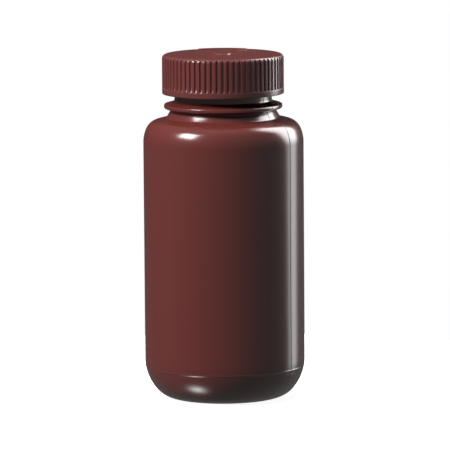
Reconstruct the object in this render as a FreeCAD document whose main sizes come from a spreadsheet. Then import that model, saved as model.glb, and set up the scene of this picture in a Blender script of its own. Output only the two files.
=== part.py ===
import FreeCAD, Part
import os
import Sketcher

# Wide-mouth bottle of 250 ml with a ribbed screw cap and a sealing disc.
# Millimetres, Z up, the bottle's axis on Z and its standing ring at z = 0.
# Every size is a cell of the sheet; sketches and features read the cells.

V = FreeCAD.Vector

# Bevels that each rounding of the bottle is made of
HEEL_LOW_STEPS = 4
HEEL_SIDE_STEPS = 5
SHOULDER_SIDE_STEPS = 3
SHOULDER_TOP_STEPS = 3


def arc_rows(name, centre_r, centre_z, radius, start, span, steps):
    """Rows for the corners on an arc, between its two ends."""
    rows = []
    for i in range(1, steps):
        turn = "(%s + %s * %d / %d)" % (start, span, i, steps)
        for letter, centre, wave in (("r", centre_r, "cos"), ("z", centre_z, "sin")):
            rows.append((
                "%s_%d_%s" % (name, i, letter),
                "=%s + %s * %s(%s)" % (centre, radius, wave, turn),
                "corner %d of the rounding %s" % (i, name)))
    return rows


SIZES = [
    # Body of the bottle
    ("body_radius", 30.75, "outside radius of the straight wall"),
    ("wall", 1.4, "wall thickness"),
    ("heel_width", 11.86, "radial width of the rounded heel"),
    ("heel_height", 15.15, "height of the rounded heel"),
    ("heel_low_radius", 9.8, "lower of the heel's two radii"),
    ("heel_side_radius",
     "=(2 * heel_height * heel_low_radius - heel_width * heel_width"
     " - heel_height * heel_height) / (2 * heel_low_radius - 2 * heel_width)",
     "upper of the heel's two radii, so that the two meet smoothly"),
    ("heel_step", "=heel_side_radius - heel_low_radius", "distance of the two centres"),
    ("land_outer", "=body_radius - heel_width", "outer radius of the standing ring"),
    ("heel_side_angle", "=asin((heel_height - heel_low_radius) / heel_step)",
     "turn of the heel's upper arc"),
    ("heel_low_angle", "=90 deg - heel_side_angle", "turn of the heel's lower arc"),
    ("heel_side_centre_r", "=body_radius - heel_side_radius", "centre of the upper arc"),
    ("heel_join_r", "=heel_side_centre_r + heel_side_radius * cos(heel_side_angle)",
     "where the two heel arcs meet"),
    ("heel_join_z", "=heel_height - heel_side_radius * sin(heel_side_angle)",
     "where the two heel arcs meet"),
    *arc_rows("heel_low", "land_outer", "heel_low_radius", "heel_low_radius",
              "-90 deg", "heel_low_angle", HEEL_LOW_STEPS),
    *arc_rows("heel_side", "heel_side_centre_r", "heel_height", "heel_side_radius",
              "-1 * heel_side_angle", "heel_side_angle", HEEL_SIDE_STEPS),
    ("land_inner", 15.8, "inner radius of the standing ring"),
    ("base_edge_r", 14.0, "edge of the raised base"),
    ("base_rise", 2.2, "height of the raised base"),
    ("base_thickness", 1.6, "thickness of the raised base"),
    # Inside of the body
    ("cavity_radius", "=body_radius - wall", "inside radius"),
    ("cavity_bend_r",
     "=heel_side_centre_r + (heel_side_radius - wall + 0.45) * cos(heel_side_angle)",
     "inside heel, bend between its two slopes"),
    ("cavity_bend_z",
     "=heel_height - (heel_side_radius - wall + 0.45) * sin(heel_side_angle)",
     "inside heel, bend between its two slopes"),
    ("floor_z", "=base_rise + base_thickness", "inside of the raised base"),
    # Shoulder
    ("shoulder_start_z", 98.69, "top of the straight wall"),
    ("shoulder_side_radius", 12.69, "lower of the shoulder's two radii"),
    ("shoulder_top_radius", 5.68, "upper of the shoulder's two radii"),
    ("shoulder_join_angle", 25.12, "angle at which the shoulder arcs meet"),
    ("shoulder_slope", 13.9, "slope of the flat part of the shoulder"),
    ("shoulder_centre_r",
     "=body_radius - shoulder_side_radius"
     " + (shoulder_side_radius - shoulder_top_radius) * cos(shoulder_join_angle)",
     "centre of the upper arc"),
    ("shoulder_centre_z",
     "=shoulder_start_z"
     " + (shoulder_side_radius - shoulder_top_radius) * sin(shoulder_join_angle)",
     "centre of the upper arc"),
    ("shoulder_join_r",
     "=shoulder_centre_r + shoulder_top_radius * cos(shoulder_join_angle)",
     "where the shoulder arcs meet"),
    ("shoulder_join_z",
     "=shoulder_centre_z + shoulder_top_radius * sin(shoulder_join_angle)",
     "where the shoulder arcs meet"),
    ("shoulder_side_centre_r", "=body_radius - shoulder_side_radius",
     "centre of the lower arc"),
    ("shoulder_top_angle", "=90 - shoulder_slope - shoulder_join_angle",
     "turn of the upper arc"),
    *arc_rows("shoulder_side", "shoulder_side_centre_r", "shoulder_start_z",
              "shoulder_side_radius", "0", "shoulder_join_angle", SHOULDER_SIDE_STEPS),
    *arc_rows("shoulder_top", "shoulder_centre_r", "shoulder_centre_z",
              "shoulder_top_radius", "shoulder_join_angle", "shoulder_top_angle",
              SHOULDER_TOP_STEPS),
    ("shoulder_end_r", "=shoulder_centre_r + shoulder_top_radius * sin(shoulder_slope)",
     "end of the upper arc"),
    ("shoulder_end_z", "=shoulder_centre_z + shoulder_top_radius * cos(shoulder_slope)",
     "end of the upper arc"),
    ("cavity_top_radius", "=shoulder_top_radius - wall", "inside shoulder, its radius"),
    ("cavity_half_angle", "=shoulder_join_angle + shoulder_top_angle / 2 - 8",
     "inside shoulder, its bend"),
    ("cavity_half_r",
     "=shoulder_centre_r + (cavity_top_radius + 0.15) * cos(cavity_half_angle)",
     "inside shoulder, its bend"),
    ("cavity_half_z",
     "=shoulder_centre_z + (cavity_top_radius + 0.15) * sin(cavity_half_angle)",
     "inside shoulder, its bend"),
    ("cavity_end_r", "=shoulder_centre_r + cavity_top_radius * sin(shoulder_slope)",
     "end of the inside upper arc"),
    ("cavity_end_z", "=shoulder_centre_z + cavity_top_radius * cos(shoulder_slope)",
     "end of the inside upper arc"),
    # Neck, collar ring and rim
    ("bore_radius", 17.35, "radius of the mouth"),
    ("finish_wall", 2.15, "wall of the neck under the thread"),
    ("finish_radius", "=bore_radius + finish_wall", "neck under the thread"),
    ("neck_inset", 0.83, "how far the plain neck lies inside the threaded one"),
    ("neck_radius", "=finish_radius - neck_inset", "neck above the collar ring"),
    ("cone_step", 1.48, "how far the short cone's top stands out from the neck"),
    ("cone_top_r", "=neck_radius + cone_step", "top of the short cone under the ring"),
    ("cone_width", 1.74, "radial width of the short cone"),
    ("neck_foot_r", "=cone_top_r + cone_width", "foot of the neck on the shoulder"),
    ("neck_foot_z", "=shoulder_end_z + (shoulder_end_r - neck_foot_r) * tan(shoulder_slope)",
     "foot of the neck on the shoulder"),
    ("cone_height", 2.86, "height of the short cone under the collar ring"),
    ("cone_top_z", "=neck_foot_z + cone_height", "top of that cone"),
    ("ring_width", 4.02, "how far the collar ring stands out from the neck"),
    ("ring_radius", "=neck_radius + ring_width", "radius of the collar ring"),
    ("ring_under", 0.85, "rise of the collar ring's underside"),
    ("ring_height", 1.5, "height of the ring's edge, which its bevels share"),
    ("ring_low_z", "=cone_top_z + ring_under", "underside of the ring at its edge"),
    ("ring_middle_z", "=ring_low_z + ring_height / 2", "middle of the ring's edge"),
    ("ring_high_z", "=ring_low_z + ring_height", "top of the ring at its edge"),
    ("ring_bevel", 0.34, "bevels that round the ring's edge"),
    ("ring_bevel_r", "=ring_radius - ring_bevel", "bevels that round the ring's edge"),
    ("hollow_step", 0.88, "how far the hollow over the ring stands out from the neck"),
    ("neck_hollow_r", "=neck_radius + hollow_step", "hollow between the ring and the neck"),
    ("ring_over", 0.65, "rise of the ring's upper side to the hollow"),
    ("hollow_height", 1.0, "height of the hollow's other side"),
    ("neck_length", 2.9, "length of the plain neck"),
    ("neck_taper", 1.0, "height of the widening above the plain neck"),
    ("finish_length", 11.1, "length of the threaded neck up to the rim"),
    ("neck_hollow_z", "=ring_high_z + ring_over", "hollow between the ring and the neck"),
    ("neck_start_z", "=neck_hollow_z + hollow_height", "neck above the collar ring"),
    ("neck_end_z", "=neck_start_z + neck_length", "top of the plain neck"),
    ("finish_start_z", "=neck_end_z + neck_taper", "start of the neck under the thread"),
    ("rim_z", "=finish_start_z + finish_length", "height of the rim"),
    ("rim_bevel", 0.4, "bevels of the rim"),
    ("rim_bevel_z", "=rim_z - rim_bevel", "bevels of the rim"),
    ("rim_outer_r", "=finish_radius - rim_bevel", "outer edge of the rim's flat"),
    ("rim_inner_r", "=bore_radius + rim_bevel", "inner edge of the rim's flat"),
    ("bore_rise", 0.6, "height of the bore's end above the short cone"),
    ("bore_end_z", "=cone_top_z + bore_rise", "lower end of the mouth's bore"),
    ("foot_step", 3.55, "widening of the inside from the mouth to the shoulder"),
    ("cavity_foot_r", "=bore_radius + foot_step", "inside foot of the neck"),
    ("cavity_foot_z",
     "=cavity_end_z + (cavity_end_r - cavity_foot_r) * tan(shoulder_slope)",
     "inside foot of the neck"),
    # Thread of the neck, six turns to the inch
    ("thread_pitch", 4.2333, "rise of the thread in one turn"),
    ("thread_turns", 1.5, "turns of the neck thread"),
    ("thread_rise", 1.5, "height of the thread's start on the threaded neck"),
    ("thread_start_z", "=finish_start_z + thread_rise", "middle of the thread's start"),
    ("thread_bury_r", "=finish_radius - 0.4", "root of the thread inside the neck"),
    ("thread_height", 1.4, "height of the thread over the neck"),
    ("thread_crest_r", "=finish_radius + thread_height", "crest of the neck thread"),
    ("thread_root_low", "=thread_start_z - 1.35", "lower flank at the buried root"),
    ("thread_root_high", "=thread_start_z + 1.35", "upper flank at the buried root"),
    ("thread_crest_low", "=thread_start_z - 0.45", "lower flank at the crest"),
    ("thread_crest_high", "=thread_start_z + 0.45", "upper flank at the crest"),
    ("fade_plane", "=finish_radius + 0.1", "distance of the flats that fade the thread's ends"),
    ("fade_out", "=thread_crest_r + 2.1", "outer side of the tools that cut those flats"),
    ("fade_length", 9.0, "length of those tools along the thread"),
    ("fade_height", 3.6, "height of those tools"),
    # Cap
    ("cap_clearance", 0.35, "gap between the neck thread's crest and the cap's bore"),
    ("cap_bore", "=thread_crest_r + cap_clearance", "inside radius of the cap"),
    ("cap_wall", 1.615, "wall of the cap at the grooves"),
    ("groove_floor", "=cap_bore + cap_wall", "floor of the grooves between the ribs"),
    ("rib_height", 0.5, "height of the grip ribs"),
    ("cap_radius", "=groove_floor + rib_height", "outside radius over the ribs"),
    ("liner_thickness", 1.0, "thickness of the sealing disc"),
    ("cap_ceiling_z", "=rim_z + liner_thickness", "underside of the cap's top"),
    ("cap_top_thickness", 1.47, "thickness of the cap's top"),
    ("cap_top_z", "=cap_ceiling_z + cap_top_thickness", "top of the closed cap"),
    ("cap_height", 15.07, "height of the cap"),
    ("cap_bottom_z", "=cap_top_z - cap_height", "lower edge of the closed cap"),
    ("cap_corner", 1.6, "size of the top corner, rounded by two bevels"),
    ("cap_corner_r", "=cap_radius - cap_corner", "inner end of the top corner"),
    ("cap_corner_z", "=cap_top_z - cap_corner", "lower end of the top corner"),
    ("cap_bend_r", "=cap_corner_r + cap_corner * cos(50)", "bend of the corner"),
    ("cap_bend_z", "=cap_corner_z + cap_corner * sin(50)", "bend of the corner"),
    ("liner_clearance", 0.3, "gap round the sealing disc"),
    ("liner_radius", "=cap_bore - liner_clearance", "radius of the sealing disc"),
    ("gate_radius", 3.2, "plain raised disc in the middle of the top"),
    ("gate_top_z", "=cap_top_z + 0.3", "plain raised disc in the middle of the top"),
    ("rib_count", 68, "grip ribs"),
    ("groove_floor_half", 0.42, "half width of a groove at its floor"),
    ("groove_mouth_half", 0.62, "half width of a groove at the rib tops"),
    ("groove_out", "=cap_radius + 0.535", "outer side of the groove tool"),
    ("groove_out_half", "=groove_floor_half + (groove_out - groove_floor)"
     " * (groove_mouth_half - groove_floor_half) / (cap_radius - groove_floor)",
     "half width of the groove tool at its outer side"),
    ("groove_rise", 2.25, "height of the plain band under the grooves"),
    ("groove_start_z", "=cap_bottom_z + groove_rise", "lower ends of the grooves"),
    ("groove_length", "=cap_top_z + 1 - groove_start_z", "length of the groove tool"),
    ("bar_margin", 1.565, "flat between the raised bar and the top's corner"),
    ("bar_width", 1.6, "radial width of the raised bar"),
    ("bar_outer", "=cap_corner_r - bar_margin", "outer radius of the raised bar on the top"),
    ("bar_inner", "=bar_outer - bar_width", "inner radius of the raised bar on the top"),
    ("bar_low_z", "=cap_top_z - 0.4", "buried foot of the raised bar"),
    ("bar_top_z", "=cap_top_z + 0.4", "top of the raised bar"),
    ("bar_angle", 56.0, "angle that the raised bar spans"),
    # Thread of the cap, right-handed as the neck's
    ("cap_thread_turns", 1.25, "turns of the cap thread"),
    ("cap_thread_angle", 120.0, "where the cap thread starts, about Z"),
    ("cap_thread_lift", 0.42, "how far it is pulled up towards the neck thread"),
    ("cap_thread_z",
     "=thread_start_z - thread_pitch / 2 + cap_thread_lift"
     " + thread_pitch * cap_thread_angle / 360", "middle of the cap thread at its start"),
    ("cap_thread_bury_r", "=cap_bore + 0.4", "root of the thread inside the cap wall"),
    ("cap_thread_gap", 0.45, "gap between the cap thread's crest and the neck"),
    ("cap_thread_crest_r", "=finish_radius + cap_thread_gap", "crest of the cap thread"),
    ("cap_thread_root_low", "=cap_thread_z - 1.25", "lower flank at the buried root"),
    ("cap_thread_root_high", "=cap_thread_z + 1.25", "upper flank at the buried root"),
    ("cap_thread_crest_low", "=cap_thread_z - 0.4", "lower flank at the crest"),
    ("cap_thread_crest_high", "=cap_thread_z + 0.4", "upper flank at the crest"),
    ("cap_fade_radius", 16.0, "radius of the tools that fade the cap thread"),
    ("cap_fade_offset", "=cap_bore - 0.1 - cap_fade_radius",
     "distance of those tools from the axis"),
    ("cap_fade_height", 3.6, "height of those tools"),
]

doc = FreeCAD.newDocument("wide_mouth_bottle")
dims = doc.addObject("Spreadsheet::Sheet", "dims")
for row, (alias, entry, note) in enumerate(SIZES, start=1):
    dims.set("A%d" % row, alias)
    dims.set("B%d" % row, str(entry))
    dims.set("C%d" % row, note)
    dims.setAlias("B%d" % row, alias)
doc.recompute()


def size(alias):
    """The number that a cell holds."""
    return float(dims.get(alias))


def part_body(name):
    """An empty body whose label names the node."""
    body = doc.addObject("PartDesign::Body", name)
    body.Label = name
    return body


def origin(body, role):
    """One of the body's own planes or axes."""
    return [o for o in body.Origin.OriginFeatures if o.Role == role][0]


def sketch_on(body, name, role, offset=None):
    """A sketch that lies on one of the body's own planes."""
    sketch = body.newObject("Sketcher::SketchObject", name)
    sketch.AttachmentSupport = [(origin(body, role), "")]
    sketch.MapMode = "FlatFace"
    if offset is not None:
        sketch.AttachmentOffset = offset
    return sketch


def place(sketch, geo, point, across, up):
    """Ties one point to cells; None is zero, a leading minus turns the sign."""
    if across is None:
        sketch.addConstraint(Sketcher.Constraint("PointOnObject", geo, point, -2))
    else:
        sign = -1.0 if across.startswith("-") else 1.0
        alias = across.lstrip("-")
        number = sketch.addConstraint(
            Sketcher.Constraint("DistanceX", -1, 1, geo, point, sign * size(alias)))
        text = "dims." + alias if sign > 0 else "-dims." + alias
        sketch.renameConstraint(number, "x_%d" % number)
        sketch.setExpression("Constraints.x_%d" % number, text)
    if up is None:
        sketch.addConstraint(Sketcher.Constraint("PointOnObject", geo, point, -1))
    else:
        number = sketch.addConstraint(
            Sketcher.Constraint("DistanceY", -1, 1, geo, point, size(up)))
        sketch.renameConstraint(number, "y_%d" % number)
        sketch.setExpression("Constraints.y_%d" % number, "dims." + up)


def number_of(alias):
    """A cell's number, zero for None, turned by a leading minus."""
    if alias is None:
        return 0.0
    if alias.startswith("-"):
        return -size(alias[1:])
    return size(alias)


def outline(sketch, corners):
    """A closed outline of straight lines through corners that cells give."""
    points = [V(number_of(a), number_of(b), 0.0) for a, b in corners]
    count = len(points)
    for start, end in zip(points, points[1:] + points[:1]):
        sketch.addGeometry(Part.LineSegment(start, end), False)
    for i in range(count):
        sketch.addConstraint(Sketcher.Constraint("Coincident", i, 2, (i + 1) % count, 1))
    for i, (across, up) in enumerate(corners):
        place(sketch, i, 1, across, up)


def revolve(body, name, sketch):
    """Turns a half section about Z."""
    feature = body.newObject("PartDesign::Revolution", name)
    feature.Profile = sketch
    feature.ReferenceAxis = (sketch, ["V_Axis"])
    feature.Angle = 360.0
    doc.recompute()
    return feature


def turned(angle):
    """The offset of a sketch that is turned about Z."""
    return FreeCAD.Placement(V(0, 0, 0), FreeCAD.Rotation(V(0, 1, 0), angle))


def helix(body, name, sketch, turns):
    """A thread of constant section about Z."""
    feature = body.newObject("PartDesign::AdditiveHelix", name)
    feature.Profile = sketch
    feature.ReferenceAxis = (sketch, ["V_Axis"])
    feature.Mode = "pitch-turns-angle"
    feature.Pitch = size("thread_pitch")
    feature.Turns = size(turns)
    feature.LeftHanded = False
    feature.Reversed = False
    feature.setExpression("Pitch", "dims.thread_pitch")
    feature.setExpression("Turns", "dims." + turns)
    doc.recompute()
    return feature


def cut_up(body, name, sketch, length):
    """Cuts upwards from a level sketch, and stops if nothing was cut."""
    before = body.Tip.Shape.Volume
    feature = body.newObject("PartDesign::Pocket", name)
    feature.Profile = sketch
    feature.Type = "Length"
    feature.Length = size(length)
    feature.Reversed = True
    feature.setExpression("Length", "dims." + length)
    doc.recompute()
    if feature.Shape.Volume > before - 0.05:
        raise RuntimeError(name + " cut nothing")
    return feature


def level(height, angle=0.0):
    """The offset of a level sketch at a height, turned about Z."""
    return FreeCAD.Placement(V(0, 0, height), FreeCAD.Rotation(V(0, 0, 1), angle))


def arc_corners(name, steps):
    """The corners that arc_rows has put into the sheet."""
    return [("%s_%d_r" % (name, i), "%s_%d_z" % (name, i)) for i in range(1, steps)]


# Bottle
bottle = part_body("bottle")
section = sketch_on(bottle, "bottle_section", "XZ_Plane")
outline(section, [
    (None, "base_rise"),
    ("base_edge_r", "base_rise"),
    ("land_inner", None),
    ("land_outer", None),
    *arc_corners("heel_low", HEEL_LOW_STEPS),
    ("heel_join_r", "heel_join_z"),
    *arc_corners("heel_side", HEEL_SIDE_STEPS),
    ("body_radius", "heel_height"),
    ("body_radius", "shoulder_start_z"),
    *arc_corners("shoulder_side", SHOULDER_SIDE_STEPS),
    ("shoulder_join_r", "shoulder_join_z"),
    *arc_corners("shoulder_top", SHOULDER_TOP_STEPS),
    ("shoulder_end_r", "shoulder_end_z"),
    ("neck_foot_r", "neck_foot_z"),
    ("cone_top_r", "cone_top_z"),
    ("ring_bevel_r", "ring_low_z"),
    ("ring_radius", "ring_middle_z"),
    ("ring_bevel_r", "ring_high_z"),
    ("neck_hollow_r", "neck_hollow_z"),
    ("neck_radius", "neck_start_z"),
    ("neck_radius", "neck_end_z"),
    ("finish_radius", "finish_start_z"),
    ("finish_radius", "rim_bevel_z"),
    ("rim_outer_r", "rim_z"),
    ("rim_inner_r", "rim_z"),
    ("bore_radius", "rim_bevel_z"),
    ("bore_radius", "bore_end_z"),
    ("cavity_foot_r", "cavity_foot_z"),
    ("cavity_end_r", "cavity_end_z"),
    ("cavity_half_r", "cavity_half_z"),
    ("cavity_radius", "shoulder_start_z"),
    ("cavity_radius", "heel_height"),
    ("cavity_bend_r", "cavity_bend_z"),
    ("land_outer", "wall"),
    ("base_edge_r", "floor_z"),
    (None, "floor_z"),
])
revolve(bottle, "bottle_wall", section)

tooth = sketch_on(bottle, "neck_thread_section", "XZ_Plane")
outline(tooth, [
    ("thread_bury_r", "thread_root_low"),
    ("thread_crest_r", "thread_crest_low"),
    ("thread_crest_r", "thread_crest_high"),
    ("thread_bury_r", "thread_root_high"),
])
helix(bottle, "neck_thread", tooth, "thread_turns")

half_fade = size("fade_height") / 2
start_z = size("thread_start_z") - half_fade
end_z = start_z + size("thread_turns") * size("thread_pitch")
end_angle = 360.0 * (size("thread_turns") % 1.0)
for name, height, angle, along in (
        ("thread_start", start_z, 0.0, 1.0),
        ("thread_end", end_z, end_angle, -1.0)):
    flat = sketch_on(bottle, name + "_flat", "XY_Plane", level(height, angle))
    reach = along * size("fade_length")
    behind = -along * 1.0
    inner = size("fade_plane")
    outer = size("fade_out")
    corners = [V(inner, behind, 0), V(outer, behind, 0), V(outer, reach, 0),
               V(inner, reach, 0)]
    for i in range(4):
        flat.addGeometry(Part.LineSegment(corners[i], corners[(i + 1) % 4]), False)
    for i in range(4):
        flat.addConstraint(Sketcher.Constraint("Coincident", i, 2, (i + 1) % 4, 1))
    for i in (0, 2):
        flat.addConstraint(Sketcher.Constraint("Horizontal", i))
    for i in (1, 3):
        flat.addConstraint(Sketcher.Constraint("Vertical", i))
    for label, geo, point, kind, value, text in (
            ("near", 0, 1, "DistanceX", inner, "dims.fade_plane"),
            ("far", 0, 2, "DistanceX", outer, "dims.fade_out"),
            ("reach", 1, 2, "DistanceY", reach, "%g * dims.fade_length" % along),
            ("behind", 0, 1, "DistanceY", behind, None)):
        number = flat.addConstraint(Sketcher.Constraint(kind, -1, 1, geo, point, value))
        flat.renameConstraint(number, label)
        if text:
            flat.setExpression("Constraints." + label, text)
    cut_up(bottle, name + "_fade", flat, "fade_height")

# Sealing disc
liner = part_body("liner")
disc = sketch_on(liner, "liner_circle", "XY_Plane", level(size("rim_z")))
disc.setExpression("AttachmentOffset.Base.z", "dims.rim_z")
disc.addGeometry(Part.Circle(V(0, 0, 0), V(0, 0, 1), size("liner_radius")), False)
disc.addConstraint(Sketcher.Constraint("Coincident", 0, 3, -1, 1))
number = disc.addConstraint(Sketcher.Constraint("Radius", 0, size("liner_radius")))
disc.renameConstraint(number, "radius")
disc.setExpression("Constraints.radius", "dims.liner_radius")
pad = liner.newObject("PartDesign::Pad", "liner_disc")
pad.Profile = disc
pad.Length = size("liner_thickness")
pad.setExpression("Length", "dims.liner_thickness")
doc.recompute()

# Cap
cap = part_body("cap")
shell = sketch_on(cap, "cap_section", "XZ_Plane")
outline(shell, [
    (None, "cap_ceiling_z"),
    ("cap_bore", "cap_ceiling_z"),
    ("cap_bore", "cap_bottom_z"),
    ("cap_radius", "cap_bottom_z"),
    ("cap_radius", "cap_corner_z"),
    ("cap_bend_r", "cap_bend_z"),
    ("cap_corner_r", "cap_top_z"),
    ("gate_radius", "cap_top_z"),
    ("gate_radius", "gate_top_z"),
    (None, "gate_top_z"),
])
revolve(cap, "cap_shell", shell)

bar = sketch_on(cap, "bar_section", "YZ_Plane")
outline(bar, [
    ("bar_inner", "bar_low_z"),
    ("bar_outer", "bar_low_z"),
    ("bar_outer", "bar_top_z"),
    ("bar_inner", "bar_top_z"),
])
raised = cap.newObject("PartDesign::Revolution", "raised_bar")
raised.Profile = bar
raised.ReferenceAxis = (bar, ["V_Axis"])
raised.Angle = size("bar_angle")
raised.Midplane = True
raised.setExpression("Angle", "dims.bar_angle")
doc.recompute()

groove = sketch_on(cap, "groove_section", "XY_Plane", level(size("groove_start_z")))
groove.setExpression("AttachmentOffset.Base.z", "dims.groove_start_z")
outline(groove, [
    ("-groove_out_half", "groove_out"),
    ("-groove_floor_half", "groove_floor"),
    ("groove_floor_half", "groove_floor"),
    ("groove_out_half", "groove_out"),
])
first_groove = cut_up(cap, "first_groove", groove, "groove_length")
grooves = cap.newObject("PartDesign::PolarPattern", "grooves")
grooves.Originals = [first_groove]
grooves.Axis = (origin(cap, "Z_Axis"), [""])
grooves.Angle = 360.0
grooves.Occurrences = int(size("rib_count"))
grooves.setExpression("Occurrences", "dims.rib_count")
cap.Tip = grooves
doc.recompute()

inner_tooth = sketch_on(cap, "cap_thread_section", "XZ_Plane",
                        turned(size("cap_thread_angle")))
outline(inner_tooth, [
    ("cap_thread_bury_r", "cap_thread_root_high"),
    ("cap_thread_crest_r", "cap_thread_crest_high"),
    ("cap_thread_crest_r", "cap_thread_crest_low"),
    ("cap_thread_bury_r", "cap_thread_root_low"),
])
helix(cap, "cap_thread", inner_tooth, "cap_thread_turns")

half_fade = size("cap_fade_height") / 2
start_z = size("cap_thread_z") - half_fade
end_z = start_z + size("cap_thread_turns") * size("thread_pitch")
end_angle = size("cap_thread_angle") + 360.0 * size("cap_thread_turns")
for name, height, angle in (
        ("cap_thread_start", start_z, size("cap_thread_angle")),
        ("cap_thread_end", end_z, end_angle)):
    ring = sketch_on(cap, name + "_circle", "XY_Plane", level(height, angle))
    centre = V(size("cap_fade_offset"), 0, 0)
    ring.addGeometry(Part.Circle(centre, V(0, 0, 1), size("cap_fade_radius")), False)
    ring.addConstraint(Sketcher.Constraint("PointOnObject", 0, 3, -1))
    number = ring.addConstraint(Sketcher.Constraint("DistanceX", -1, 1, 0, 3, centre.x))
    ring.renameConstraint(number, "offset")
    ring.setExpression("Constraints.offset", "dims.cap_fade_offset")
    number = ring.addConstraint(Sketcher.Constraint("Radius", 0, size("cap_fade_radius")))
    ring.renameConstraint(number, "radius")
    ring.setExpression("Constraints.radius", "dims.cap_fade_radius")
    cut_up(cap, name + "_fade", ring, "cap_fade_height")

# Checks before anything is written
doc.recompute()
for thing in doc.Objects:
    if "Invalid" in thing.State or "Error" in thing.State:
        raise RuntimeError("%s: %s" % (thing.Label, thing.State))
os.makedirs("parts", exist_ok=True)
for body in (bottle, liner, cap):
    shape = body.Shape
    if shape.isNull() or not shape.isValid():
        raise RuntimeError(body.Label + " has no valid shape")
    if len(shape.Solids) != 1:
        raise RuntimeError("%s has %d solids" % (body.Label, len(shape.Solids)))
    box = shape.BoundBox
    print("%s %.1f mm3, z %.2f to %.2f, radius %.2f" % (
        body.Label, shape.Volume, box.ZMin, box.ZMax, box.XMax))
    shape.exportStep("parts/%s.step" % body.Label)
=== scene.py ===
import math
import bpy
from mathutils import Matrix, Vector


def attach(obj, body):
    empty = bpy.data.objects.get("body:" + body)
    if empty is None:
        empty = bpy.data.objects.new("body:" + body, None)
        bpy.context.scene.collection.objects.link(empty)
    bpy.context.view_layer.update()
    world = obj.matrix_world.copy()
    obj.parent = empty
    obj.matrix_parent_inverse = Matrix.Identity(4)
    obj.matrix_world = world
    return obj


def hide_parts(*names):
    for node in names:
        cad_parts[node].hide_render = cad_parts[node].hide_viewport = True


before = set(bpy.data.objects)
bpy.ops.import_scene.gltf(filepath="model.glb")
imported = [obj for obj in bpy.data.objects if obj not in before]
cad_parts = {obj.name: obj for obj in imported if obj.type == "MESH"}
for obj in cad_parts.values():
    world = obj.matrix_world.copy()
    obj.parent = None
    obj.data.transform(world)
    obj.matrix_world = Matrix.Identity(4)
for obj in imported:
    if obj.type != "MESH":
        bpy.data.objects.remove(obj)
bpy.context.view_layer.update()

# Wide-mouth bottle with a ribbed screw cap, in its studio.
# Sizes are in millimetres, and new_piece turns them into metres.
# Heights are above the ring that the bottle stands on, radii from its axis.

MM = 0.001
FULL_TURN = 2.0 * math.pi
# Gap that keeps the skins off the axis and off the floor
HAIR = 0.02


# Shapes

def arc_point(centre, radius, angle):
    """A point on an arc in the half section, at an angle in degrees."""
    turn = math.radians(angle)
    return (centre[0] + radius * math.cos(turn), centre[1] + radius * math.sin(turn))


def arc(centre, radius, first, last, count):
    """Points on an arc in the half section, between two angles in degrees."""
    step = (last - first) / (count - 1)
    return [arc_point(centre, radius, first + step * i) for i in range(count)]


def round_corner(before, here, after, radius, steps):
    """Points of the arc that rounds the corner between two straight lines."""
    to_before = (before - here).normalized()
    to_after = (after - here).normalized()
    half = math.acos(max(-1.0, min(1.0, to_before.dot(to_after)))) / 2.0
    reach = radius / math.tan(half)
    centre = here + (to_before + to_after).normalized() * (radius / math.sin(half))
    start = here + to_before * reach - centre
    finish = here + to_after * reach - centre
    begin = math.atan2(start.y, start.x)
    span = math.remainder(math.atan2(finish.y, finish.x) - begin, FULL_TURN)
    turns = [begin + span * k / steps for k in range(steps + 1)]
    return [(centre.x + radius * math.cos(turn), centre.y + radius * math.sin(turn))
            for turn in turns]


def rounded(corners, steps=6):
    """A half section; a corner's third number is the radius that rounds it."""
    path = []
    places = [Vector(corner[:2]) for corner in corners]
    for i, corner in enumerate(corners):
        if len(corner) > 2:
            path += round_corner(places[i - 1], places[i], places[i + 1], corner[2], steps)
        else:
            path.append(tuple(corner))
    return path


def on_axis(radius, angle, height):
    """A point in space from its radius, its angle about the axis and its height."""
    return (radius * math.cos(angle), radius * math.sin(angle), height)


def new_piece(name, vertices, faces, body):
    """A smooth mesh in metres from points in millimetres."""
    mesh = bpy.data.meshes.new(name)
    mesh.from_pydata([(x * MM, y * MM, z * MM) for x, y, z in vertices], [], faces)
    mesh.validate()
    mesh.shade_smooth()
    piece = bpy.data.objects.new(name, mesh)
    bpy.context.scene.collection.objects.link(piece)
    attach(piece, body)
    return piece


def skin(name, angles, rows, body):
    """A skin round the axis; a row gives radius and height at each angle."""
    vertices = []
    for row in rows:
        for angle in angles:
            radius, height = row(angle)
            vertices.append(on_axis(radius, angle, height))
    faces = []
    count = len(angles)
    for below in range(0, (len(rows) - 1) * count, count):
        above = below + count
        for j in range(count):
            k = (j + 1) % count
            faces.append((below + j, below + k, above + k, above + j))
    return new_piece(name, vertices, faces, body)


def sweep(name, stations, body, reverse=False):
    """A length of one section turned about the axis, with a face at each end."""
    vertices = [on_axis(radius, angle, height)
                for angle, section in stations for radius, height in section]
    width = len(stations[0][1])
    last = len(vertices) - width
    faces = []
    for start in range(0, last, width):
        for a in range(start, start + width - 1):
            side = (a, a + 1, a + width + 1, a + width)
            faces.append(side[::-1] if reverse else side)
    faces.append(tuple(range(width - 1, -1, -1)))
    faces.append(tuple(range(last, last + width)))
    return new_piece(name, vertices, faces, body)


# Base, heel and wall of the bottle
BODY_RADIUS = 30.75
WALL = 1.4
CAVITY_RADIUS = BODY_RADIUS - WALL
BASE_EDGE = 14.0
BASE_EDGE_ROUND = 0.8
BASE_RISE = 2.2
BASE_THICKNESS = 1.6
FLOOR_Z = BASE_RISE + BASE_THICKNESS
LAND_INNER = 15.8
LAND_ROUND = 0.6
LAND_OUTER = 18.89
HEEL_WIDTH = BODY_RADIUS - LAND_OUTER
HEEL_HEIGHT = 15.15
HEEL_LOW_RADIUS = 9.8
HEEL_LOW_CENTRE = (LAND_OUTER, HEEL_LOW_RADIUS)
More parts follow.
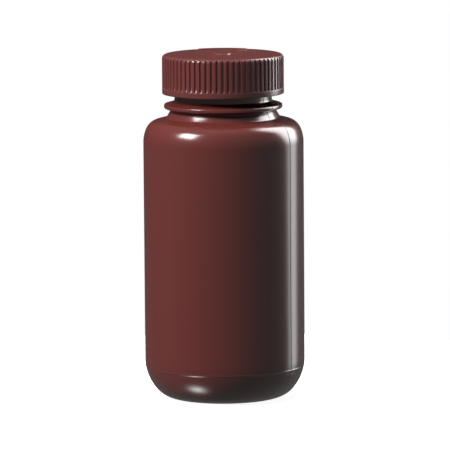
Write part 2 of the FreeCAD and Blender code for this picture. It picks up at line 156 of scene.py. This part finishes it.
# The heel's upper radius, with which its two arcs meet smoothly, and the angle there
HEEL_SIDE_RADIUS = ((2.0 * HEEL_HEIGHT * HEEL_LOW_RADIUS - HEEL_WIDTH ** 2
                     - HEEL_HEIGHT ** 2) / (2.0 * (HEEL_LOW_RADIUS - HEEL_WIDTH)))
HEEL_SIDE_CENTRE = (BODY_RADIUS - HEEL_SIDE_RADIUS, HEEL_HEIGHT)
HEEL_JOIN = -math.degrees(math.asin((HEEL_HEIGHT - HEEL_LOW_RADIUS)
                                    / (HEEL_SIDE_RADIUS - HEEL_LOW_RADIUS)))
# Parting line of the base: a low ridge, and the angles where the heel's arc stops for it
PARTING_RIDGE = [(30.56, 12.15), (30.63, 12.25), (30.64, 12.4), (30.57, 12.5)]
PARTING_LOW = -9.9
PARTING_HIGH = -8.1
WALL_ROWS = (20.0, 30.0, 45.0, 60.0, 75.0, 88.0, 95.0)
WALL_MIDDLE = 60.0

# Shoulder of the bottle: two arcs, then a flat slope
SHOULDER_START = 98.69
SHOULDER_SIDE_RADIUS = 12.69
SHOULDER_TOP_RADIUS = 5.68
SHOULDER_JOIN = 25.12
SHOULDER_SLOPE = 13.9
SHOULDER_END = 90.0 - SHOULDER_SLOPE
SHOULDER_SIDE_CENTRE = (BODY_RADIUS - SHOULDER_SIDE_RADIUS, SHOULDER_START)
SHOULDER_TOP_CENTRE = arc_point(
    SHOULDER_SIDE_CENTRE, SHOULDER_SIDE_RADIUS - SHOULDER_TOP_RADIUS, SHOULDER_JOIN)

# Neck, collar ring, rim and mouth of the bottle
NECK_FOOT_RADIUS = 21.89
NECK_FOOT_ROUND = 0.8
CONE_TOP_RADIUS = 20.15
CONE_TOP_Z = 111.0
CONE_TOP_ROUND = 0.35
RING_RADIUS = 22.69
RING_LOW_Z = 111.9
RING_HIGH_Z = 113.32
RING_ROUND = 0.62
NECK_RADIUS = 18.67
HOLLOW_Z = 114.35
HOLLOW_ROUND = 1.3
NECK_END_Z = 117.9
FINISH_RADIUS = 19.5
FINISH_START_Z = 118.9
FINISH_ROUND = 0.3
RIM_Z = 130.0
RIM_ROUND = 0.45
BORE_RADIUS = 17.35
BORE_END_Z = 111.6
CAVITY_FOOT_RADIUS = 20.9
INSIDE_ROUND = 1.0


def slope_z(arc_end, radius):
    """Height of the shoulder's flat slope at a radius, from the end of its arc."""
    return arc_end[1] + (arc_end[0] - radius) * math.tan(math.radians(SHOULDER_SLOPE))


def neck_outline(start, finish):
    """The neck from the outside of the shoulder over the rim to its inside."""
    return rounded([
        start,
        (NECK_FOOT_RADIUS, slope_z(start, NECK_FOOT_RADIUS), NECK_FOOT_ROUND),
        (CONE_TOP_RADIUS, CONE_TOP_Z, CONE_TOP_ROUND),
        (RING_RADIUS, RING_LOW_Z, RING_ROUND),
        (RING_RADIUS, RING_HIGH_Z, RING_ROUND),
        (NECK_RADIUS, HOLLOW_Z, HOLLOW_ROUND),
        (NECK_RADIUS, NECK_END_Z, FINISH_ROUND),
        (FINISH_RADIUS, FINISH_START_Z, FINISH_ROUND),
        (FINISH_RADIUS, RIM_Z, RIM_ROUND),
        (BORE_RADIUS, RIM_Z, RIM_ROUND),
        (BORE_RADIUS, BORE_END_Z, INSIDE_ROUND),
        (CAVITY_FOOT_RADIUS, slope_z(finish, CAVITY_FOOT_RADIUS), INSIDE_ROUND),
        finish,
    ])


def bottle_outside():
    """Half section from the middle of the base up the outside and into the mouth."""
    path = rounded([(HAIR, BASE_RISE), (BASE_EDGE, BASE_RISE, BASE_EDGE_ROUND),
                    (LAND_INNER, HAIR, LAND_ROUND), (LAND_OUTER, HAIR)])
    path += arc(HEEL_LOW_CENTRE, HEEL_LOW_RADIUS, -90.0, HEEL_JOIN, 17)[1:]
    path += arc(HEEL_SIDE_CENTRE, HEEL_SIDE_RADIUS, HEEL_JOIN, PARTING_LOW, 14)[1:]
    path += PARTING_RIDGE
    path += arc(HEEL_SIDE_CENTRE, HEEL_SIDE_RADIUS, PARTING_HIGH, 0.0, 5)
    path += [(BODY_RADIUS, height) for height in WALL_ROWS]
    path += arc(SHOULDER_SIDE_CENTRE, SHOULDER_SIDE_RADIUS, 0.0, SHOULDER_JOIN, 13)
    path += arc(SHOULDER_TOP_CENTRE, SHOULDER_TOP_RADIUS, SHOULDER_JOIN, SHOULDER_END, 17)[1:]
    inside = arc_point(SHOULDER_TOP_CENTRE, SHOULDER_TOP_RADIUS - WALL, SHOULDER_END)
    return path + neck_outline(path[-1], inside)[1:]


def bottle_inside():
    """Half section of the cavity from the shoulder down to the middle of its floor."""
    path = arc(SHOULDER_TOP_CENTRE, SHOULDER_TOP_RADIUS - WALL, SHOULDER_END,
               SHOULDER_JOIN, 9)[1:]
    path += arc(SHOULDER_SIDE_CENTRE, SHOULDER_SIDE_RADIUS - WALL, SHOULDER_JOIN, 0.0, 7)[1:]
    path += [(CAVITY_RADIUS, WALL_MIDDLE), (CAVITY_RADIUS, HEEL_HEIGHT)]
    path += arc(HEEL_SIDE_CENTRE, HEEL_SIDE_RADIUS - WALL, 0.0, HEEL_JOIN, 9)[1:]
    path += arc(HEEL_LOW_CENTRE, HEEL_LOW_RADIUS - WALL, HEEL_JOIN, -90.0, 9)[1:]
    path += [(BASE_EDGE, FLOOR_Z), (HAIR, FLOOR_Z)]
    return path


# Mould seams: degrees from the camera's side to the first, at its right; one is opposite
SEAM_AZIMUTH = 55.6
FIRST_SEAM = math.radians(SEAM_AZIMUTH - 90.0)
SEAMS = (FIRST_SEAM, FIRST_SEAM + math.pi)
SEAM_HEIGHT = 0.1
SEAM_WIDTH = 0.13
SEAM_LOW_Z = 2.0
SEAM_HIGH_Z = 117.0
SEAM_INNER_RADIUS = 18.0
# Angle on each side of a seam that the closer columns cover, and how many there are
SEAM_SPREAD = 0.014
SEAM_COLUMNS = 6
BOTTLE_COLUMNS = 200


def bottle_angles():
    """Even angles round the axis, and closer ones at the two seams."""
    angles = [FULL_TURN * i / BOTTLE_COLUMNS for i in range(BOTTLE_COLUMNS)]
    for middle in SEAMS:
        for k in range(-SEAM_COLUMNS, SEAM_COLUMNS + 1):
            angles.append((middle + SEAM_SPREAD * k / SEAM_COLUMNS) % FULL_TURN)
    return sorted(set(round(angle, 7) for angle in angles))


def seam_lift(angle, radius):
    """How far the seams stand proud at an angle."""
    gaps = [math.remainder(angle - middle, FULL_TURN) * radius for middle in SEAMS]
    return sum(SEAM_HEIGHT * math.exp(-(gap / SEAM_WIDTH) ** 2) for gap in gaps)


def carries_seam(point):
    """Whether the seams run over a point from bottle_outside."""
    radius, height = point
    return SEAM_LOW_Z < height < SEAM_HIGH_Z and radius > SEAM_INNER_RADIUS


def bottle_row(point, seamed):
    """A row of the bottle's skin, with or without the seams."""
    radius, height = point

    def at(angle):
        return (radius + (seam_lift(angle, radius) if seamed else 0.0), height)
    return at


bottle_rows = [bottle_row(point, carries_seam(point)) for point in bottle_outside()]
bottle_rows += [bottle_row(point, False) for point in bottle_inside()]
bottle = skin("bottle_skin", bottle_angles(), bottle_rows, "bottle")
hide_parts("bottle")

# Threads of the neck and the cap, right-handed, six turns to the inch
THREAD_PITCH = 4.2333
THREAD_STEPS = 96
# Share of a turn over which an end fades
THREAD_FADE = 0.07
THREAD_BURIED = 0.3
THREAD_FLARE = 0.1
THREAD_EDGE = 0.18
# Share of the flanks' slope that goes into the crest as the thread fades
THREAD_SPREAD = 0.4
THREAD_TURNS = 1.5
THREAD_START_Z = 120.4
THREAD_CREST = 20.9
THREAD_ROOT_HALF = 1.12
THREAD_CREST_HALF = 0.45
CAP_THREAD_TURNS = 1.25
CAP_THREAD_CREST = 19.95
CAP_THREAD_ROOT_HALF = 1.0
CAP_THREAD_CREST_HALF = 0.4
CAP_THREAD_LIFT = 0.42
CAP_THREAD_ANGLE = 120.0
CAP_THREAD_START_Z = (THREAD_START_Z - THREAD_PITCH / 2.0 + CAP_THREAD_LIFT
                      + THREAD_PITCH * CAP_THREAD_ANGLE / 360.0)


def thread_section(root, crest, half_root, half_crest, fade):
    """Radii and offsets of a thread's section, flatter and wider as it fades."""
    outward = math.copysign(1.0, crest - root)
    top = root + (crest - root) * fade
    edge = THREAD_EDGE * fade
    half = half_crest + (half_root - half_crest) * (1.0 - fade) * THREAD_SPREAD
    upper = [(root - outward * THREAD_BURIED, half_root + THREAD_FLARE),
             (root, half_root),
             (top - outward * edge, half + edge / 2.0),
             (top, half - edge)]
    return upper + [(radius, -offset) for radius, offset in reversed(upper)]


def thread(name, root, crest, half_root, half_crest, turns, start_z, start_angle,
           body):
    """A thread whose two ends fade into the wall that carries it."""
    steps = int(turns * THREAD_STEPS)
    stations = []
    for i in range(steps + 1):
        turned = turns * i / steps
        fade = min(1.0, turned / THREAD_FADE, (turns - turned) / THREAD_FADE)
        fade = math.sin(fade * math.pi / 2.0)
        middle = start_z + THREAD_PITCH * turned
        section = thread_section(root, crest, half_root, half_crest, fade)
        stations.append((math.radians(start_angle) + FULL_TURN * turned,
                         [(radius, middle + offset) for radius, offset in section]))
    return sweep(name, stations, body, reverse=crest > root)


neck_thread = thread("neck_thread", FINISH_RADIUS, THREAD_CREST, THREAD_ROOT_HALF,
                     THREAD_CREST_HALF, THREAD_TURNS, THREAD_START_Z, 0.0,
                     "bottle")

# Cap: rounded grooves cut into a rounded shell
CAP_RADIUS = 23.365
CAP_BORE = 21.25
CAP_BOTTOM_Z = 117.4
CAP_CEILING_Z = 131.0
CAP_CEILING_ROUND = 0.3
CAP_TOP_Z = 132.47
CAP_CORNER = 1.6
CAP_FOOT_ROUND = 0.3
CAP_FOOT_RADIUS = 21.9
CAP_LEAD_IN = 0.5
CAP_LEAD_IN_ROUND = 0.2
CAP_LEAD_IN_FOOT_ROUND = 0.1
CAP_BAND_Z = 119.4
CAP_FLAT_RADIUS = 21.0
GATE_RADIUS = 3.2
GATE_FOOT_ROUND = 0.12
GATE_TOP_RADIUS = 3.05
GATE_TOP_Z = CAP_TOP_Z + 0.3
GATE_TOP_ROUND = 0.1
RIBS = 68
RIB_PITCH = FULL_TURN / RIBS
FIRST_GROOVE = math.radians(90.0)
GROOVE_FLOOR = 22.865
GROOVE_FLOOR_HALF = 0.36
GROOVE_MOUTH_HALF = 0.62
GROOVE_START_Z = 119.62
# Share of the grooves' depth at rises over their lower end
GROOVE_FOOT = ((0.04, 0.12), (0.08, 0.35), (0.13, 0.65), (0.18, 0.88), (0.24, 1.0))
RIB_ROWS = (122.0, 125.0, 128.0, 130.2)
# Columns over each groove and the rib after it, from the groove's middle
RIB_COLUMNS = (-0.62, -0.55, -0.49, -0.43, -0.36, -0.12, 0.12, 0.36, 0.43, 0.49, 0.55,
               0.62, 0.72, 0.95, 1.2, 1.43)
RIB_SOFTNESS = 0.05


def groove_surface(angle):
    """Radius of the ribbed skin: flat ribs, and grooves with sloping sides."""
    gap = abs(math.remainder(angle - FIRST_GROOVE, RIB_PITCH)) * CAP_RADIUS
    share = (gap - GROOVE_FLOOR_HALF) / (GROOVE_MOUTH_HALF - GROOVE_FLOOR_HALF)
    share = max(0.0, min(1.0, share))
    share = share * share * (3.0 - 2.0 * share)
    return GROOVE_FLOOR + (CAP_RADIUS - GROOVE_FLOOR) * share


def plain_row(radius, height):
    """A row of the cap with no ribs."""
    return lambda angle: (radius, height)


def ribbed_row(radius, height, share):
    """A row cut back to the ribs and a share of the grooves' depth, softly."""
    def at(angle):
        cut = CAP_RADIUS + (groove_surface(angle) - CAP_RADIUS) * share
        bend = max(RIB_SOFTNESS - abs(radius - cut), 0.0) ** 2 / (4.0 * RIB_SOFTNESS)
        return (min(radius, cut) - bend, height)
    return at


def cap_rows():
    """Rows from the middle of the ceiling down the bore and up the outside."""
    lower = rounded([(HAIR, CAP_CEILING_Z), (CAP_BORE, CAP_CEILING_Z, CAP_CEILING_ROUND),
                     (CAP_BORE, CAP_BOTTOM_Z + CAP_LEAD_IN, CAP_LEAD_IN_ROUND),
                     (CAP_BORE + CAP_LEAD_IN, CAP_BOTTOM_Z, CAP_LEAD_IN_FOOT_ROUND),
                     (CAP_FOOT_RADIUS, CAP_BOTTOM_Z),
                     (CAP_RADIUS, CAP_BOTTOM_Z, CAP_FOOT_ROUND),
                     (CAP_RADIUS, CAP_BAND_Z), (CAP_RADIUS, GROOVE_START_Z)], 4)
    corner = arc((CAP_RADIUS - CAP_CORNER, CAP_TOP_Z - CAP_CORNER), CAP_CORNER, 0.0, 90.0, 15)
    top = rounded([(CAP_FLAT_RADIUS, CAP_TOP_Z), (GATE_RADIUS, CAP_TOP_Z, GATE_FOOT_ROUND),
                   (GATE_TOP_RADIUS, GATE_TOP_Z, GATE_TOP_ROUND), (HAIR, GATE_TOP_Z)], 3)
    rows = [plain_row(radius, height) for radius, height in lower]
    rows += [ribbed_row(CAP_RADIUS, GROOVE_START_Z + rise, share)
             for rise, share in GROOVE_FOOT]
    rows += [ribbed_row(CAP_RADIUS, height, 1.0) for height in RIB_ROWS]
    rows += [ribbed_row(radius, height, 1.0) for radius, height in corner]
    rows += [plain_row(radius, height) for radius, height in top]
    return rows


cap_angles = [FIRST_GROOVE + i * RIB_PITCH + gap / CAP_RADIUS
              for i in range(RIBS) for gap in RIB_COLUMNS]
cap = skin("cap_skin", cap_angles, cap_rows(), "cap")
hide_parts("cap")
cap_thread = thread("cap_thread", CAP_BORE, CAP_THREAD_CREST, CAP_THREAD_ROOT_HALF,
                    CAP_THREAD_CREST_HALF, CAP_THREAD_TURNS, CAP_THREAD_START_Z,
                    CAP_THREAD_ANGLE, "cap")

# Raised bar on the cap's top, at the back
BAR_INNER = 18.6
BAR_OUTER = 20.2
BAR_FOOT_Z = 132.3
BAR_TOP_Z = CAP_TOP_Z + 0.4
BAR_ROUND = 0.12
BAR_ANGLE = 56.0
BAR_START = 90.0 - BAR_ANGLE / 2.0
BAR_STEPS = 56

bar_section = rounded([(BAR_INNER, BAR_FOOT_Z), (BAR_INNER, BAR_TOP_Z, BAR_ROUND),
                       (BAR_OUTER, BAR_TOP_Z, BAR_ROUND), (BAR_OUTER, BAR_FOOT_Z)], 3)
bar = sweep("raised_bar", [(math.radians(BAR_START + BAR_ANGLE * i / BAR_STEPS), bar_section)
                           for i in range(BAR_STEPS + 1)], "cap")


# Materials

def new_tree(owner):
    """The empty node tree of a material or world."""
    owner.use_nodes = True
    owner.node_tree.nodes.clear()
    return owner.node_tree


def new_node(tree, kind, **inputs):
    """A node with constants set on its sockets."""
    node = tree.nodes.new(kind)
    for name, value in inputs.items():
        node.inputs[name].default_value = value
    return node


def grey(level):
    """A neutral colour."""
    return (level, level, level, 1.0)


def plastic(name, colour, rough, bump):
    """Moulded plastic with a faint unevenness."""
    material = bpy.data.materials.new(name)
    material.use_nodes = True
    tree = material.node_tree
    shader = tree.nodes["Principled BSDF"]
    shader.inputs["Base Color"].default_value = (*colour, 1.0)
    shader.inputs["Roughness"].default_value = rough
    shader.inputs["IOR"].default_value = 1.52
    place = tree.nodes.new("ShaderNodeTexCoord")
    noise = new_node(tree, "ShaderNodeTexNoise", Scale=260.0, Detail=2.0)
    uneven = new_node(tree, "ShaderNodeBump", Strength=bump, Distance=0.0002)
    tree.links.new(place.outputs["Object"], noise.inputs["Vector"])
    tree.links.new(noise.outputs["Fac"], uneven.inputs["Height"])
    tree.links.new(uneven.outputs["Normal"], shader.inputs["Normal"])
    return material


bottle_brown = plastic("bottle_brown", (0.141, 0.028, 0.024), rough=0.20, bump=0.06)
cap_brown = plastic("cap_brown", (0.150, 0.034, 0.031), rough=0.28, bump=0.06)
liner_foam = plastic("liner_foam", (0.75, 0.74, 0.70), rough=0.6, bump=0.3)
for piece in (bottle, neck_thread):
    piece.data.materials.append(bottle_brown)
for piece in (cap, cap_thread, bar):
    piece.data.materials.append(cap_brown)
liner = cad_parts["liner"]
liner.data.materials.clear()
liner.data.materials.append(liner_foam)

# Floor and world: lengths in metres from here on
FLOOR_RADIUS = 0.16
# Height of the point that the lamps, the dome and the camera are set round
MIDDLE = 0.065


def floor_paint():
    """White with the object's shadow to the camera, nearly black to other rays."""
    material = bpy.data.materials.new("white_acrylic")
    tree = new_tree(material)
    path = tree.nodes.new("ShaderNodeLightPath")
    glow = new_node(tree, "ShaderNodeEmission", Color=grey(1.0), Strength=0.93)
    matte = new_node(tree, "ShaderNodeBsdfDiffuse", Color=grey(0.8))
    dark = new_node(tree, "ShaderNodeBsdfDiffuse", Color=grey(0.03))
    white = tree.nodes.new("ShaderNodeAddShader")
    mix = tree.nodes.new("ShaderNodeMixShader")
    out = tree.nodes.new("ShaderNodeOutputMaterial")
    tree.links.new(glow.outputs["Emission"], white.inputs[0])
    tree.links.new(matte.outputs["BSDF"], white.inputs[1])
    tree.links.new(path.outputs["Is Camera Ray"], mix.inputs["Fac"])
    tree.links.new(dark.outputs["BSDF"], mix.inputs[1])
    tree.links.new(white.outputs["Shader"], mix.inputs[2])
    tree.links.new(mix.outputs["Shader"], out.inputs["Surface"])
    return material


def seen_directly(tree):
    """One for camera, glossy and transmission rays, zero for the rest."""
    path = tree.nodes.new("ShaderNodeLightPath")
    total = path.outputs["Is Camera Ray"]
    for name in ("Is Glossy Ray", "Is Transmission Ray"):
        larger = tree.nodes.new("ShaderNodeMath")
        larger.operation = "MAXIMUM"
        tree.links.new(total, larger.inputs[0])
        tree.links.new(path.outputs[name], larger.inputs[1])
        total = larger.outputs["Value"]
    return total


def studio_world():
    """A white backdrop that lights the object only faintly."""
    world = bpy.data.worlds.new("studio")
    tree = new_tree(world)
    dim = new_node(tree, "ShaderNodeBackground", Color=grey(1.0), Strength=0.01)
    bright = new_node(tree, "ShaderNodeBackground", Color=grey(1.0), Strength=1.0)
    mix = tree.nodes.new("ShaderNodeMixShader")
    out = tree.nodes.new("ShaderNodeOutputWorld")
    tree.links.new(seen_directly(tree), mix.inputs["Fac"])
    tree.links.new(dim.outputs["Background"], mix.inputs[1])
    tree.links.new(bright.outputs["Background"], mix.inputs[2])
    tree.links.new(mix.outputs["Shader"], out.inputs["Surface"])
    return world


bpy.ops.mesh.primitive_circle_add(vertices=96, radius=FLOOR_RADIUS, fill_type="NGON")
floor = bpy.context.object
floor.name = "floor"
floor.data.materials.append(floor_paint())
floor.visible_glossy = False
bpy.context.scene.world = studio_world()

# Painted reflections: glow on a dome that only mirror rays see, so it puts highlights on the
# plastic without lighting it. Azimuth 0 is the camera's side, positive to its right.
# Each list is a broken line of angles in degrees and values; first the dome's painted grey
# glow all round.
ROUND = [(-180.0, 0.02), (-165.0, 0.04), (-150.0, 0.06), (-126.0, 0.10), (-102.0, 0.18),
         (-84.0, 0.26), (-54.0, 0.26), (-6.0, 0.27), (30.0, 0.32), (66.0, 0.38),
         (95.0, 0.40), (135.0, 0.30), (150.0, 0.16), (165.0, 0.06), (180.0, 0.02)]
# Share of the painted reflection's ceiling and floor grey, by elevation
AWAY_FROM_WALLS = [(-60.0, 0.8), (0.0, 0.0), (25.0, 0.04), (40.0, 0.3), (65.0, 1.0)]
CEILING_REFLECTION_GREY = 0.42
# Painted reflection of a tall soft light at the right and behind, a glowing band on the dome
# that lights nothing: its two edges and its strength, by elevation
SIDE_REFLECTION_LOW = [(-10.0, 106.0), (30.0, 96.0)]
SIDE_REFLECTION_HIGH = [(-10.0, 125.0), (30.0, 139.0)]
SIDE_REFLECTION_LEVEL = [(-26.0, 0.0), (-17.0, 2.0), (-10.0, 4.2), (-3.0, 4.4), (4.0, 9.0),
              (14.0, 13.0), (58.0, 13.0), (66.0, 0.0)]
SIDE_REFLECTION_SOFTNESS = 4.0
# Painted highlight on the heel: a small glowing patch low at the left of the dome, which
# lights nothing: azimuth, elevation and their widths
HEEL_HIGHLIGHT_AZIMUTH, HEEL_HIGHLIGHT_WIDTH = -66.0, 14.0
HEEL_HIGHLIGHT_ELEVATION, HEEL_HIGHLIGHT_HEIGHT = -59.0, 6.0
HEEL_HIGHLIGHT_LEVEL = 16.0
DOME_DISTANCE = 1.8
DOME_STEP = 3.0


def along(value, stops):
    """The height of a broken line at a value."""
    if value <= stops[0][0]:
        return stops[0][1]
    for (low, first), (high, last) in zip(stops, stops[1:]):
        if value <= high:
            return first + (last - first) * (value - low) / (high - low)
    return stops[-1][1]


def window(value, low, high, soft):
    """One between two edges and zero outside, with soft edges."""
    rise = along(value, [(low - soft, 0.0), (low + soft, 1.0)])
    fall = along(value, [(high - soft, 1.0), (high + soft, 0.0)])
    return min(rise, fall)


def painted_reflection_level(azimuth, elevation):
    """What the object mirrors in one direction: the glow of the painted reflections."""
    level = along(azimuth, ROUND)
    level += (CEILING_REFLECTION_GREY - level) * along(elevation, AWAY_FROM_WALLS)
    side = window(azimuth, along(elevation, SIDE_REFLECTION_LOW), along(elevation, SIDE_REFLECTION_HIGH),
                  SIDE_REFLECTION_SOFTNESS)
    # Painted reflection of the tall side light.
    level += side * along(elevation, SIDE_REFLECTION_LEVEL)
    # Painted highlight that shows on the heel.
    off_heel_highlight = (((azimuth - HEEL_HIGHLIGHT_AZIMUTH) / HEEL_HIGHLIGHT_WIDTH) ** 2
                + ((elevation - HEEL_HIGHLIGHT_ELEVATION) / HEEL_HIGHLIGHT_HEIGHT) ** 2)
    return level + HEEL_HIGHLIGHT_LEVEL * math.exp(-off_heel_highlight)


def direction(azimuth, elevation):
    """The unit vector towards an azimuth and an elevation in degrees."""
    turn = math.radians(azimuth)
    rise = math.radians(elevation)
    return Vector((math.sin(turn) * math.cos(rise), -math.cos(turn) * math.cos(rise),
                   math.sin(rise)))


def painted_reflection_paint():
    """Painted reflection: glows at the level that the mesh holds at each point."""
    material = bpy.data.materials.new("painted_reflection_glow")
    tree = new_tree(material)
    shade = tree.nodes.new("ShaderNodeAttribute")
    shade.attribute_name = "grey"
    glow = tree.nodes.new("ShaderNodeEmission")
    out = tree.nodes.new("ShaderNodeOutputMaterial")
    tree.links.new(shade.outputs["Fac"], glow.inputs["Strength"])
    tree.links.new(glow.outputs["Emission"], out.inputs["Surface"])
    return material


def painted_reflection_dome():
    """A dome round the set that only reflections see: painted reflections and highlights,
    glowing though it is no lamp.
    """
    centre = Vector((0.0, 0.0, MIDDLE))
    across = int(360 / DOME_STEP)
    upward = int(180 / DOME_STEP)
    vertices = []
    levels = []
    for j in range(upward + 1):
        elevation = -90.0 + DOME_STEP * j
        for i in range(across):
            azimuth = -180.0 + DOME_STEP * i
            vertices.append(centre + DOME_DISTANCE * direction(azimuth, elevation))
            levels.append(painted_reflection_level(azimuth, elevation))
    faces = []
    for below in range(0, upward * across, across):
        above = below + across
        for i in range(across):
            k = (i + 1) % across
            faces.append((below + i, below + k, above + k, above + i))
    mesh = bpy.data.meshes.new("painted_reflection_dome")
    mesh.from_pydata(vertices, [], faces)
    mesh.attributes.new("grey", "FLOAT", "POINT").data.foreach_set("value", levels)
    mesh.materials.append(painted_reflection_paint())
    dome = bpy.data.objects.new("painted_reflection_dome", mesh)
    bpy.context.scene.collection.objects.link(dome)
    # Only mirror rays see the dome, so its glow is painted reflection and lights nothing.
    dome.visible_camera = False
    dome.visible_diffuse = False
    dome.visible_shadow = False
    return dome


# Painted reflections and highlights on the plastic.
painted_reflection_dome()


# Lamps

def softbox(name, azimuth, elevation, distance, width, height, power):
    """An area light that faces the middle of the object."""
    aim = Vector((0.0, 0.0, MIDDLE))
    place = aim + distance * direction(azimuth, elevation)
    data = bpy.data.lights.new(name, "AREA")
    data.shape = "RECTANGLE"
    data.size = width
    data.size_y = height
    data.energy = power
    lamp = bpy.data.objects.new(name, data)
    lamp.location = place
    lamp.rotation_euler = (aim - place).to_track_quat("-Z", "Y").to_euler()
    bpy.context.scene.collection.objects.link(lamp)
    return lamp


softbox("key", azimuth=-61.0, elevation=39.0, distance=1.3, width=0.50, height=0.44,
        power=21.5)
overhead = softbox("overhead", azimuth=0.0, elevation=89.0, distance=0.9, width=0.5,
                   height=0.5, power=4.2)
overhead.visible_glossy = False

# Camera, set out from the outline in the photograph
RISE = math.radians(7.486)
ROLL = math.radians(0.415)
DISTANCE = 2.0148
SENSOR = 36.0
# Width of the picture, focal length and shift of the aim, all in pixels
PICTURE = 450.0
FOCAL = 5240.0
SHIFT_RIGHT = 0.944
SHIFT_UP = 3.585


def place_camera():
    """The camera, level but for its slight roll."""
    back = Vector((0.0, -math.cos(RISE), math.sin(RISE)))
    level_right = Vector((1.0, 0.0, 0.0))
    level_up = back.cross(level_right)
    right = level_right * math.cos(ROLL) - level_up * math.sin(ROLL)
    up = level_up * math.cos(ROLL) + level_right * math.sin(ROLL)
    pixel = DISTANCE / FOCAL
    place = Vector((0.0, 0.0, MIDDLE)) + back * DISTANCE
    place += (right * SHIFT_RIGHT + up * SHIFT_UP) * pixel
    data = bpy.data.cameras.new("camera")
    data.sensor_width = SENSOR
    data.lens = FOCAL / PICTURE * SENSOR
    data.clip_end = 20.0
    camera = bpy.data.objects.new("camera", data)
    turn = Matrix((right, up, back)).transposed().to_4x4()
    camera.matrix_world = Matrix.Translation(place) @ turn
    bpy.context.scene.collection.objects.link(camera)
    return camera


bpy.context.scene.camera = place_camera()
bpy.context.scene.view_settings.view_transform = "Standard"
